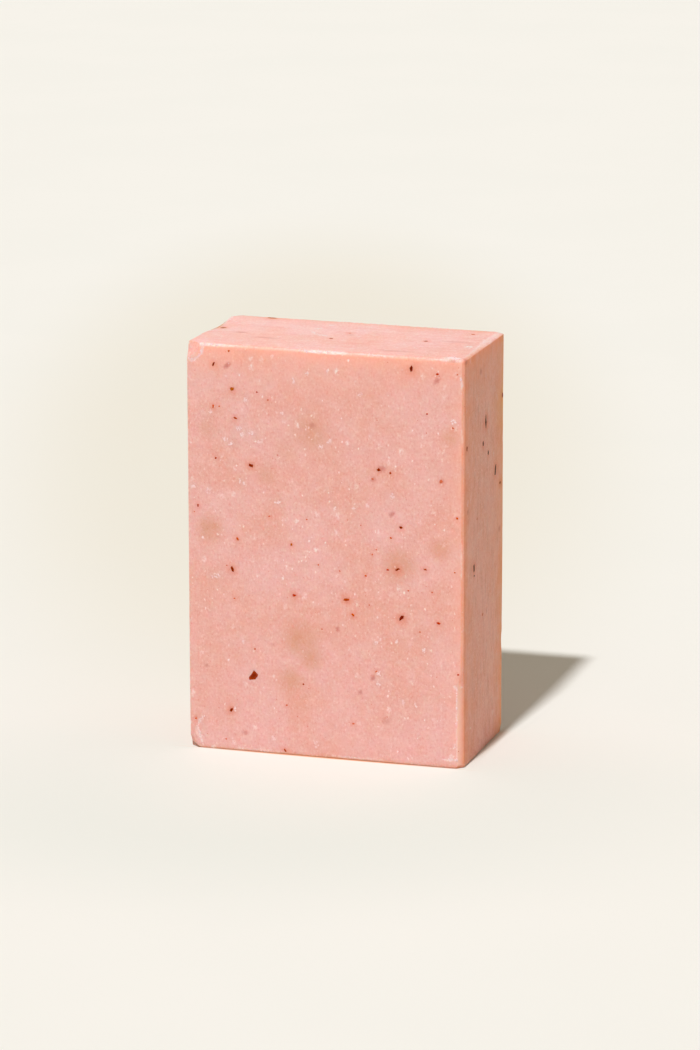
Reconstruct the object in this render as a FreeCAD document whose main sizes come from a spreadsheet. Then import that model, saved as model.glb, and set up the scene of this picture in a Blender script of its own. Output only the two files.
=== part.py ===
import FreeCAD, Part

import os
import sys
from math import sqrt

import Sketcher

# A bar of hand-cut soap that stands on its short end, in millimetres.
# X is the width, Y the thickness with the front at -Y, and Z the height.
# The origin is at the middle of the end that the bar stands on.

OUT = "parts"
os.makedirs(OUT, exist_ok=True)

doc = FreeCAD.newDocument("soap")
sheet = doc.addObject("Spreadsheet::Sheet", "sizes")

# Driving dimensions, each with the name that the features use
SIZES = [
    ("bar_width", 55.3),
    ("bar_depth", 28.7),
    ("bar_height", 80.6),
    # worn rounds: the top and foot edges of the front, and every other edge
    ("top_front_round", 0.8),
    ("foot_front_round", 0.4),
    ("edge_round", 0.25),
    # bevel on the top edge of the right side: how far it drops, and its width, which grows to the back
    ("top_bevel_drop", 0.35),
    ("top_bevel_front", 0.5),
    ("top_bevel_back", 1.25),
    # bevel on the upright edge between the front and the right side, wider near the foot
    ("side_bevel", 0.55),
    ("foot_bevel", 1.1),
    ("foot_bevel_height", 16.0),
    # chip out of the upper left corner of the front
    ("chip_width", 3.0),
    ("chip_reach", 1.2),
    ("chip_height", 3.2),
    # crushed lower left corner of the front
    ("crushed_width", 1.7),
    ("crushed_reach", 1.3),
    ("crushed_height", 2.6),
    # dent in the upright edge between the front and the right side, past its bevel
    ("dent_level", 17.0),
    ("dent_length", 3.4),
    ("dent_bite", 0.45),
    # nick in the upright edge between the back and the right side
    ("nick_level", 18.5),
    ("nick_length", 3.6),
    ("nick_bite", 0.6),
    # corners that are rubbed off: the back left one at the top, and two on the right at the foot,
    # of which the front one goes past the foot bevel
    ("rubbed_top", 1.6),
    ("rubbed_foot_back", 1.4),
    ("rubbed_foot_front", 0.5),
    # crumb on the worn top edge of the front, near its right end: its length, and how far it stands out
    ("crumb_length", 3.8),
    ("crumb_size", 0.23),
    ("crumb_inset", 2.5),
]

# Where the flat faces of the block lie, as expressions of the sizes
HALF_WIDTH, HALF_DEPTH = "sizes.bar_width / 2", "sizes.bar_depth / 2"
LEFT, RIGHT = "-" + HALF_WIDTH, HALF_WIDTH
FRONT, BACK = "-" + HALF_DEPTH, HALF_DEPTH
FOOT, TOP = "0", "sizes.bar_height"

# How far outside its corner the centre of a bite lies, in reaches: a hollow bite, and a nearly flat rub
HOLLOW = 1.0
FLAT = 5.0

TAKES, ADDS = -1, 1


def fill_sheet():
    sheet.set("A1", "name")
    sheet.set("B1", "value")
    for row, (alias, value) in enumerate(SIZES, start=2):
        sheet.set("A%d" % row, alias)
        sheet.set("B%d" % row, str(value))
        sheet.setAlias("B%d" % row, alias)
    doc.recompute()


def size(alias):
    return float(sheet.get(alias))


fill_sheet()

soap = doc.addObject("PartDesign::Body", "soap_bar")
soap.Label = "soap_bar"


def new_sketch(name, role):
    sketch = soap.newObject("Sketcher::SketchObject", name)
    plane = [f for f in soap.Origin.OriginFeatures if f.Role == role][0]
    sketch.AttachmentSupport = (plane, [""])
    sketch.MapMode = "FlatFace"
    return sketch


def closed_lines(sketch, points):
    """Draws a closed outline of straight lines, and holds the level and the upright ones that way."""
    for start, end in zip(points, points[1:] + points[:1]):
        line = sketch.addGeometry(Part.LineSegment(FreeCAD.Vector(*start, 0), FreeCAD.Vector(*end, 0)), False)
        if start[1] == end[1]:
            sketch.addConstraint(Sketcher.Constraint("Horizontal", line))
        if start[0] == end[0]:
            sketch.addConstraint(Sketcher.Constraint("Vertical", line))
    for line in range(len(points)):
        sketch.addConstraint(Sketcher.Constraint("Coincident", line, 2, (line + 1) % len(points), 1))


def bind(sketch, name, constraint, expression):
    sketch.renameConstraint(sketch.addConstraint(constraint), name)
    sketch.setExpression("Constraints." + name, expression)


def finish_step(feature, change):
    """Recomputes, and stops if the step didn't change the volume the way it should."""
    doc.recompute()
    amount = feature.Shape.Volume - feature.BaseFeature.Shape.Volume
    print("%s: %+.3f mm3" % (feature.Label, amount))
    if amount * change <= 0:
        sys.exit(feature.Label + " leaves the bar as it was")
    return feature


def block():
    """The plain cut block."""
    half_x, half_y = size("bar_width") / 2, size("bar_depth") / 2
    sketch = new_sketch("BlockOutline", "XY_Plane")
    closed_lines(sketch, [(-half_x, -half_y), (half_x, -half_y), (half_x, half_y), (-half_x, half_y)])
    sketch.addConstraint(Sketcher.Constraint("Symmetric", 0, 1, 1, 2, -1, 1))
    bind(sketch, "width", Sketcher.Constraint("DistanceX", 0, 1, 0, 2, 2 * half_x), "sizes.bar_width")
    bind(sketch, "depth", Sketcher.Constraint("DistanceY", 1, 1, 1, 2, 2 * half_y), "sizes.bar_depth")
    feature = soap.newObject("PartDesign::Pad", "Block")
    feature.Profile = sketch
    feature.setExpression("Length", "sizes.bar_height")
    doc.recompute()
    return feature


def edges_between(shape, **planes):
    """Names of the edges that lie in both of the given planes, such as x=27.5 and z=80."""
    names = []
    for number, edge in enumerate(shape.Edges, start=1):
        box = edge.BoundBox
        ends = {"x": (box.XMin, box.XMax), "y": (box.YMin, box.YMax), "z": (box.ZMin, box.ZMax)}
        if all(abs(end - at) < 0.01 for axis, at in planes.items() for end in ends[axis]):
            names.append("Edge%d" % number)
    return names


def round_edges(name, base, pairs, radius):
    """Rounds the edge of the block where each of the given pairs of planes meets."""
    feature = soap.newObject("PartDesign::Fillet", name)
    feature.Base = (base, [edge for planes in pairs for edge in edges_between(base.Shape, **planes)])
    feature.setExpression("Radius", radius)
    return finish_step(feature, TAKES)


def worn_edges(base):
    """Rounds on the edges: the top edge of the front is the most worn, then its foot edge."""
    x, y, top = size("bar_width") / 2, size("bar_depth") / 2, size("bar_height")
    base = round_edges("TopFrontRound", base, [{"y": -y, "z": top}], "sizes.top_front_round")
    base = round_edges("FootFrontRound", base, [{"y": -y, "z": 0}], "sizes.foot_front_round")
    others = [{"y": y, "z": top}, {"y": y, "z": 0}]
    for side in (-x, x):
        others += [{"x": side, "y": -y}, {"x": side, "y": y}, {"x": side, "z": 0}, {"x": side, "z": top}]
    round_edges("EdgeRounds", base, others, "sizes.edge_round")


def top_bevel_section(name, width, shift):
    """Flat triangle in the upper right corner of the front or the back, with its legs on the two edges."""
    x, z, drop, reach = size("bar_width") / 2, size("bar_height"), size("top_bevel_drop"), size(width)
    sketch = new_sketch(name, "XZ_Plane")
    sketch.setExpression("AttachmentOffset.Base.z", shift)
    closed_lines(sketch, [(x - reach, z), (x, z), (x, z - drop)])
    bind(sketch, "side", Sketcher.Constraint("DistanceX", -1, 1, 1, 1, x), HALF_WIDTH)
    bind(sketch, "top", Sketcher.Constraint("DistanceY", -1, 1, 1, 1, z), TOP)
    bind(sketch, "across", Sketcher.Constraint("DistanceX", 0, 1, 0, 2, reach), "sizes." + width)
    bind(sketch, "down", Sketcher.Constraint("DistanceY", 1, 2, 1, 1, drop), "sizes.top_bevel_drop")
    return sketch


def top_bevel():
    """Bevel on the top edge of the right side, which gets wider from the front to the back."""
    front = top_bevel_section("TopBevelFront", "top_bevel_front", HALF_DEPTH)
    back = top_bevel_section("TopBevelBack", "top_bevel_back", "-" + HALF_DEPTH)
    feature = soap.newObject("PartDesign::SubtractiveLoft", "TopBevel")
    feature.Profile = front
    feature.Sections = [back]
    feature.Ruled = True
    finish_step(feature, TAKES)


def side_bevel(name, leg, length):
    """Bevel on the upright edge between the front and the right side, from the foot up."""
    x, y, reach = size("bar_width") / 2, size("bar_depth") / 2, size(leg)
    sketch = new_sketch(name + "Corner", "XY_Plane")
    closed_lines(sketch, [(x - reach, -y), (x, -y), (x, reach - y)])
    bind(sketch, "side", Sketcher.Constraint("DistanceX", -1, 1, 1, 1, x), HALF_WIDTH)
    bind(sketch, "front", Sketcher.Constraint("DistanceY", 1, 1, -1, 1, y), HALF_DEPTH)
    bind(sketch, "across", Sketcher.Constraint("DistanceX", 0, 1, 0, 2, reach), "sizes." + leg)
    bind(sketch, "back", Sketcher.Constraint("DistanceY", 1, 1, 1, 2, reach), "sizes." + leg)
    feature = soap.newObject("PartDesign::Pocket", name)
    feature.Profile = sketch
    feature.Reversed = True
    feature.setExpression("Length", length)
    finish_step(feature, TAKES)


def ellipsoid(kind, name, centre, radii, change):
    """An ellipsoid along the axes, from the expressions of its centre and of its radii in X, Y and Z."""
    feature = soap.newObject("PartDesign::" + kind, name)
    for axis, at in zip("xyz", centre):
        feature.setExpression(".Placement.Base." + axis, at)
    for radius, value in zip(("Radius2", "Radius3", "Radius1"), radii):
        feature.setExpression(radius, value)
    finish_step(feature, change)


def outside(plane, reach, hollow):
    """A place outside one of the block's faces, as many reaches away as the bite is hollow."""
    sign = "-" if plane in (LEFT, FRONT, FOOT) else "+"
    return "%s %s %s * %s" % (plane, sign, hollow, reach)


def corner_bite(name, corner, reaches, hollow):
    """Takes a corner off, as far along each of its edges as the reach there says.

    The cutter's centre lies outside the corner, so that the cut meets each face at a shallow angle.
    """
    radius = sqrt((1 + hollow) ** 2 + 2 * hollow**2)
    centre = [outside(plane, reach, hollow) for plane, reach in zip(corner, reaches)]
    radii = ["%s * %s" % (reach, radius) for reach in reaches]
    ellipsoid("SubtractiveEllipsoid", name, centre, radii, TAKES)


def edge_bite(name, side, face, bite, level, length):
    """Takes a scoop out of an upright edge, as far into both of its faces as the bite says."""
    radius = sqrt((1 + HOLLOW) ** 2 + HOLLOW**2)
    half_length = 0.5 / sqrt(1 - 2 * HOLLOW**2 / radius**2)
    centre = [outside(side, bite, HOLLOW), outside(face, bite, HOLLOW), level]
    across = "%s * %s" % (bite, radius)
    ellipsoid("SubtractiveEllipsoid", name, centre, [across, across, "%s * %s" % (length, half_length)], TAKES)


def crumb():
    """A crumb that sits halfway round the worn top edge of the front."""
    inset = "sizes.top_front_round * %s" % (1 - sqrt(0.5))
    centre = [RIGHT + " - sizes.crumb_inset", FRONT + " + " + inset, TOP + " - " + inset]
    radii = ["sizes.crumb_length / 2", "sizes.crumb_size", "sizes.crumb_size"]
    ellipsoid("AdditiveEllipsoid", "Crumb", centre, radii, ADDS)


def build():
    worn_edges(block())
    top_bevel()
    side_bevel("SideBevel", "side_bevel", "sizes.bar_height")
    side_bevel("FootBevel", "foot_bevel", "sizes.foot_bevel_height")
    chip = ("sizes.chip_width", "sizes.chip_reach", "sizes.chip_height")
    corner_bite("Chip", (LEFT, FRONT, TOP), chip, HOLLOW)
    crushed = ("sizes.crushed_width", "sizes.crushed_reach", "sizes.crushed_height")
    corner_bite("CrushedCorner", (LEFT, FRONT, FOOT), crushed, HOLLOW)
    past_bevel = "(sizes.side_bevel + sizes.dent_bite)"
    edge_bite("Dent", RIGHT, FRONT, past_bevel, "sizes.dent_level", "sizes.dent_length")
    edge_bite("Nick", RIGHT, BACK, "sizes.nick_bite", "sizes.nick_level", "sizes.nick_length")
    corner_bite("RubbedTop", (LEFT, BACK, TOP), ["sizes.rubbed_top"] * 3, FLAT)
    corner_bite("RubbedFootBack", (RIGHT, BACK, FOOT), ["sizes.rubbed_foot_back"] * 3, FLAT)
    past_foot_bevel = "(sizes.foot_bevel + sizes.rubbed_foot_front)"
    corner_bite("RubbedFootFront", (RIGHT, FRONT, FOOT), [past_foot_bevel] * 3, FLAT)
    crumb()


def check():
    """Stops before anything is written if an object failed or the bar isn't one whole solid."""
    failed = [o.Label for o in doc.Objects if "Invalid" in o.State or "Error" in o.State]
    if failed:
        sys.exit("failed: " + ", ".join(failed))
    if soap.Shape.isNull() or not soap.Shape.isValid() or len(soap.Shape.Solids) != 1:
        sys.exit("soap_bar is not one valid solid")


build()
doc.recompute()
check()
box = soap.Shape.optimalBoundingBox()
print("soap_bar: %.2f x %.2f x %.2f mm" % (box.XLength, box.YLength, box.ZLength))
print("volume: %.2f cm3" % (soap.Shape.Volume / 1000))
soap.Shape.exportStep(os.path.join(OUT, soap.Label + ".step"))
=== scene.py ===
import math
import random

import bmesh
import bpy
import numpy as np
from mathutils import Matrix, Vector, noise
from mathutils.bvhtree import BVHTree


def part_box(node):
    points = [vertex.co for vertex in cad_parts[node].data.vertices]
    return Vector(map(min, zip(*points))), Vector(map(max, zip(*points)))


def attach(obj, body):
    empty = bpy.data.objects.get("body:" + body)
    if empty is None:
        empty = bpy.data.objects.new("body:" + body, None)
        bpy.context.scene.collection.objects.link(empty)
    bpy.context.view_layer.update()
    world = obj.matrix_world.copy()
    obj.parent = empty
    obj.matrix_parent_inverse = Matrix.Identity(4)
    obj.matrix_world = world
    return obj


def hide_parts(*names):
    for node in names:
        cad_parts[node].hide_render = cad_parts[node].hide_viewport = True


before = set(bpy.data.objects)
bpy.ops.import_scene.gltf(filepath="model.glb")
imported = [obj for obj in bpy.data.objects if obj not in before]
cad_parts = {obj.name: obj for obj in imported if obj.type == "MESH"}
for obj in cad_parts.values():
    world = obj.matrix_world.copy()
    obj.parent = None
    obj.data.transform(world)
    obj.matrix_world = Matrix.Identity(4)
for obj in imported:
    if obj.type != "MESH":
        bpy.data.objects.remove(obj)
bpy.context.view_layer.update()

# Lengths in this script are in millimetres until a mesh or a lamp is made, and MM turns them into metres.
MM = 0.001
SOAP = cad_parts["soap_bar"]
LOW, HIGH = (np.array(corner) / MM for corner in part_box("soap_bar"))
WIDTH, DEPTH, HEIGHT = HIGH - LOW
SEED = 47

# The bar's surface is one mesh of quads, with a fine band near its edges, where the wear is
FINE, FINE_BAND = 0.13, 3.0
MIDDLING, MIDDLING_BAND = 0.3, 1.2
COARSE = 0.64
RAY_INSET = 3.4

# How deep the hand-cut surface lies under the flat faces of the solid, and how far its top falls to the right
SKIN = 0.02
WAVE_DEPTH = 0.10
TOP_FALL = 0.42

# The worn dip in the top edge of the left side: how deep, and where its middle and its end are
DIP = 0.5
DIP_PLACE = np.array([0.0, 18.5, HEIGHT])
DIP_RADIUS = 9.5

# The lists of marks below start a little inside the corner of their face
SIDE_GAP, FRONT_GAP, FOOT_GAP = 0.15, 0.10, 0.26

# Each face: where its lists start, the way along its two edges, and out of it by the right-hand rule
FACES = {
    "front": ((LOW[0] + SIDE_GAP, LOW[1], FOOT_GAP), (1, 0, 0), (0, 0, 1)),
    "right": ((HIGH[0], LOW[1] + FRONT_GAP, FOOT_GAP), (0, 1, 0), (0, 0, 1)),
    "back": ((HIGH[0], HIGH[1], LOW[2]), (-1, 0, 0), (0, 0, 1)),
    "left": ((LOW[0], HIGH[1], LOW[2]), (0, -1, 0), (0, 0, 1)),
    "top": ((LOW[0] + SIDE_GAP, LOW[1] + FRONT_GAP, HIGH[2]), (1, 0, 0), (0, 1, 0)),
    "foot": ((LOW[0], HIGH[1], LOW[2]), (1, 0, 0), (0, -1, 0)),
}

# Flecks of plant matter: how far along the face's two edges they lie, their length and width,
# their turn in degrees, and their tone
FLECKS = {
    "front": [
        (8.4, 79.0, 0.40, 0.35, 0, "orange"),
        (5.3, 76.3, 1.00, 0.40, 65, "dark"),
        (9.0, 71.6, 0.95, 0.80, 20, "ochre"),
        (14.0, 71.3, 0.32, 0.28, 0, "red"),
        (16.2, 69.9, 0.45, 0.35, 45, "faint"),
        (5.2, 68.0, 0.70, 0.35, 90, "orange"),
        (6.4, 68.1, 0.30, 0.26, 0, "faint"),
        (9.6, 66.0, 0.70, 0.38, -30, "brown"),
        (5.6, 57.9, 0.48, 0.42, 0, "brown"),
        (12.7, 56.9, 1.10, 0.95, -30, "dark"),
        (1.9, 48.3, 0.60, 0.35, -80, "brown"),
        (1.2, 47.0, 0.28, 0.26, 0, "faint"),
        (16.4, 47.1, 0.38, 0.32, 0, "faint"),
        (23.9, 47.0, 0.36, 0.30, 0, "faint"),
        (34.7, 46.6, 0.30, 0.28, 0, "faint"),
        (9.9, 42.2, 0.60, 0.38, -60, "orange"),
        (20.8, 41.8, 0.62, 0.42, 80, "ochre"),
        (44.7, 77.7, 1.45, 0.66, 86, "maroon"),
        (49.8, 76.9, 0.52, 0.40, 0, "red"),
        (53.7, 77.0, 0.30, 0.26, 60, "faint"),
        (47.8, 69.1, 0.35, 0.32, 0, "red"),
        (52.9, 66.7, 0.50, 0.36, 0, "faint"),
        (50.6, 56.2, 0.70, 0.60, 60, "faint"),
        (38.3, 57.7, 0.75, 0.62, 20, "dark"),
        (40.6, 57.2, 0.60, 0.42, -70, "brown"),
        (37.1, 55.8, 0.55, 0.40, 0, "faint"),
        (42.7, 46.7, 0.80, 0.50, -15, "dark"),
        (53.8, 49.2, 0.50, 0.45, 0, "orange"),
        (40.7, 44.5, 0.45, 0.35, -40, "orange"),
        (37.0, 41.0, 0.42, 0.30, 60, "faint"),
        (37.8, 42.0, 0.30, 0.26, 0, "faint"),
        (30.5, 37.3, 0.35, 0.32, 0, "faint"),
        (35.7, 36.7, 0.48, 0.35, 0, "orange"),
        (40.1, 38.2, 0.50, 0.28, 0, "red"),
        (42.0, 38.4, 1.15, 0.50, 18, "dark"),
        (47.5, 38.8, 0.75, 0.36, -25, "brown"),
        (53.4, 38.6, 0.35, 0.32, 0, "orange"),
        (8.8, 36.1, 1.30, 0.55, -68, "dark"),
        (7.7, 36.8, 0.26, 0.24, 0, "faint"),
        (44.2, 34.4, 0.38, 0.32, 0, "faint"),
        (48.9, 34.4, 0.38, 0.32, 0, "faint"),
        (31.8, 31.7, 1.30, 0.60, 5, "brown"),
        (21.3, 31.8, 0.92, 0.52, 12, "red"),
        (26.2, 38.2, 0.32, 0.28, 0, "faint"),
        (9.2, 30.3, 0.38, 0.28, 0, "orange"),
        (36.4, 31.0, 0.32, 0.28, 0, "faint"),
        (33.1, 28.8, 0.75, 0.48, -45, "orange"),
        (42.8, 28.9, 1.35, 0.68, 52, "maroon"),
        (50.2, 28.4, 0.75, 0.45, -10, "red"),
        (46.5, 26.4, 0.35, 0.30, 0, "faint"),
        (26.9, 25.5, 0.30, 0.28, 0, "faint"),
        (13.3, 20.5, 0.38, 0.34, 0, "faint"),
        (37.8, 17.9, 0.50, 0.30, 45, "faint"),
        (54.1, 18.5, 0.50, 0.42, 20, "red"),
        (23.1, 14.2, 0.40, 0.35, 0, "brown"),
        (19.7, 9.7, 0.40, 0.36, 0, "faint"),
        (8.4, 7.9, 1.05, 0.62, 60, "dark"),
        (33.2, 7.1, 0.45, 0.38, 0, "faint"),
        (1.1, 5.6, 0.45, 0.36, 0, "orange"),
        (7.3, 1.9, 0.32, 0.28, 0, "faint"),
        (19.3, 0.6, 0.85, 0.36, -50, "brown"),
    ],
    "right": [
        (15.6, 64.9, 2.90, 0.85, 90, "umber"),
        (13.8, 60.9, 1.10, 0.65, 90, "umber"),
        (17.5, 58.4, 1.00, 0.75, 90, "umber"),
        (2.1, 62.4, 1.10, 0.80, 90, "brown"),
        (22.8, 53.8, 2.60, 0.90, 74, "umber"),
        (27.9, 67.6, 1.00, 1.00, 90, "brown"),
        (7.7, 37.7, 1.80, 1.05, 90, "umber"),
        (7.8, 36.2, 0.50, 0.40, 0, "umber"),
        (26.3, 50.5, 1.00, 0.70, 0, "brown"),
        (14.0, 27.0, 0.60, 0.55, 0, "faint"),
        (9.6, 47.0, 0.50, 0.50, 0, "faint"),
    ],
    "top": [
        (1.5, 17.4, 1.50, 1.30, 0, "ochre"),
        (8.2, 27.7, 2.30, 0.90, 0, "ochre"),
        (25.2, 11.8, 0.70, 0.60, 0, "brown"),
        (27.0, 18.0, 0.80, 0.50, 0, "faint"),
        (43.2, 15.1, 0.95, 0.80, 0, "brown"),
        (50.0, 24.4, 0.90, 0.80, 0, "faint"),
    ],
}

# The largest fleck is a four-sided flake with corners of its own, in millimetres from its middle
LARGEST = (13.0, 15.2)
LARGEST_CORNERS = [(1.12, 0.14), (0.10, 1.18), (-1.12, -0.62), (-1.0, -1.12), (0.42, -0.90)]

# Colours are written as they look, from 0 to 255: the core and the rim of a fleck
TONES = {
    "dark": ((120, 30, 2), (200, 80, 24)),
    "maroon": ((96, 16, 4), (180, 58, 20)),
    "umber": ((56, 26, 8), (120, 68, 38)),
    "brown": ((164, 54, 4), (218, 96, 40)),
    "ochre": ((168, 80, 8), (218, 120, 50)),
    "red": ((188, 44, 6), (222, 92, 48)),
    "orange": ((202, 76, 4), (236, 118, 50)),
    "faint": ((214, 104, 70), (230, 136, 108)),
}

# Flecks that lie under the surface show as blurred spots: place, length, width, turn, strength
BURIED = {
    "front": [
        (8.1, 76.2, 1.5, 0.8, 40, 0.50),
        (49.7, 75.6, 1.4, 0.8, 45, 0.50),
        (38.9, 57.9, 1.5, 1.1, 30, 0.40),
        (37.2, 55.7, 1.0, 0.8, 0, 0.30),
        (40.9, 49.2, 1.3, 0.8, 40, 0.50),
        (30.0, 25.7, 0.8, 0.8, 0, 0.45),
        (37.1, 16.6, 1.0, 0.8, 45, 0.50),
        (34.6, 13.6, 0.9, 0.9, 0, 0.42),
        (39.8, 8.2, 1.6, 1.1, 0, 0.25),
        (11.2, 3.5, 1.2, 0.9, 0, 0.38),
        (3.5, 16.5, 0.8, 0.7, 0, 0.30),
        (25.0, 65.5, 1.2, 1.0, 0, 0.28),
        (50.7, 56.3, 0.9, 0.8, 0, 0.25),
        (16.9, 21.6, 0.9, 0.6, 0, 0.22),
    ],
    "right": [
        (1.3, 79.3, 1.5, 1.0, 0, 0.45),
        (11.7, 75.4, 1.4, 1.2, 0, 0.40),
        (10.0, 68.5, 2.2, 1.0, 90, 0.25),
        (3.0, 49.9, 1.0, 1.0, 0, 0.35),
        (14.7, 48.3, 0.9, 0.9, 0, 0.25),
        (25.9, 41.4, 1.4, 1.2, 0, 0.35),
        (16.8, 27.0, 0.9, 0.9, 0, 0.30),
    ],
    "top": [
        (6.9, 12.2, 2.0, 1.2, 0, 0.35),
        (27.8, 16.4, 1.0, 0.9, 0, 0.28),
        (13.2, 8.5, 4.6, 0.9, 0, 0.26),
        (40.7, 4.2, 6.0, 1.2, 0, 0.22),
        (48.7, 16.2, 5.4, 1.2, 0, 0.22),
    ],
}

# Chalky spots, as above
CHALKY = {
    "front": [
        (10.3, 64.0, 1.0, 0.9, 0, 0.42),
        (11.0, 62.8, 0.9, 0.7, 0, 0.40),
        (12.8, 63.3, 0.9, 0.8, 0, 0.42),
        (7.7, 61.7, 0.9, 0.8, 0, 0.48),
        (8.6, 60.9, 0.9, 0.7, 30, 0.42),
        (14.3, 61.6, 0.7, 0.6, 0, 0.35),
        (26.9, 61.5, 0.9, 0.8, 0, 0.38),
        (28.4, 62.6, 0.9, 0.7, 30, 0.30),
        (10.5, 53.7, 0.5, 0.8, 0, 0.35),
        (11.3, 53.3, 0.4, 0.6, 0, 0.35),
        (0.9, 51.9, 0.9, 0.8, 0, 0.35),
        (4.1, 51.4, 1.2, 1.4, 0, 0.25),
        (18.0, 50.0, 1.1, 0.6, 10, 0.45),
        (4.6, 66.7, 0.8, 0.7, 0, 0.35),
        (11.7, 69.8, 1.1, 0.8, 50, 0.35),
        (21.3, 74.0, 0.5, 0.9, 0, 0.35),
        (24.0, 75.5, 0.5, 0.8, 0, 0.40),
        (28.1, 76.0, 0.3, 0.8, 0, 0.42),
        (19.0, 67.4, 0.6, 0.6, 0, 0.30),
        (2.8, 42.0, 0.5, 0.6, 0, 0.38),
        (52.9, 67.8, 1.0, 0.9, 0, 0.75),
        (34.6, 72.1, 1.0, 0.9, 0, 0.25),
        (38.4, 17.6, 0.9, 1.1, 0, 0.50),
        (38.3, 15.6, 0.8, 1.0, 0, 0.55),
        (37.8, 23.6, 0.6, 0.7, 0, 0.42),
        (41.9, 24.2, 0.5, 0.9, 0, 0.42),
        (47.4, 22.8, 0.7, 1.0, 20, 0.42),
        (41.0, 52.6, 0.8, 1.3, 20, 0.30),
        (29.5, 49.5, 0.6, 0.8, 0, 0.32),
        (33.3, 49.8, 0.7, 0.7, 0, 0.30),
        (11.0, 21.9, 0.6, 1.2, 0, 0.28),
        (5.4, 34.4, 1.6, 1.4, 0, 0.26),
        (25.6, 2.3, 1.2, 1.3, 0, 0.26),
        (17.0, 2.8, 0.7, 0.9, 30, 0.30),
        (9.2, 8.2, 0.5, 1.0, 0, 0.42),
        (45.7, 11.9, 0.5, 1.3, 20, 0.30),
        (43.2, 12.2, 0.4, 1.2, 10, 0.28),
        (53.4, 4.2, 0.4, 1.1, -20, 0.40),
    ],
    "right": [
        (5.5, 6.6, 0.8, 0.7, 0, 0.70),
        (10.5, 68.3, 0.6, 1.2, 0, 0.30),
        (17.4, 62.7, 0.6, 0.8, 0, 0.28),
    ],
    "top": [
        (21.5, 24.3, 1.0, 0.8, 0, 0.40),
        (29.0, 25.0, 3.0, 0.5, 0, 0.40),
        (52.5, 12.5, 2.2, 1.3, 0, 0.85),
        (20.4, 16.4, 2.6, 0.6, -50, 0.75),
        (22.6, 14.4, 2.0, 0.5, 0, 0.75),
        (20.2, 20.4, 1.8, 0.6, 60, 0.60),
    ],
}

# Broad stains in the front: place, radius, strength
BLOTCHES = [
    (22.5, 23.0, 4.2, 1.0),
    (24.5, 19.5, 3.0, 0.9),
    (20.5, 15.0, 3.2, 0.75),
    (4.3, 44.0, 3.2, 1.0),
    (4.0, 64.0, 2.6, 0.5),
    (24.5, 64.5, 4.4, 0.85),
    (20.0, 60.5, 2.8, 0.45),
    (15.5, 55.5, 2.6, 0.5),
    (42.5, 39.5, 4.0, 0.95),
    (50.5, 43.0, 2.6, 0.8),
    (52.5, 65.0, 2.4, 0.7),
    (22.5, 10.5, 2.6, 0.3),
]

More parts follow.
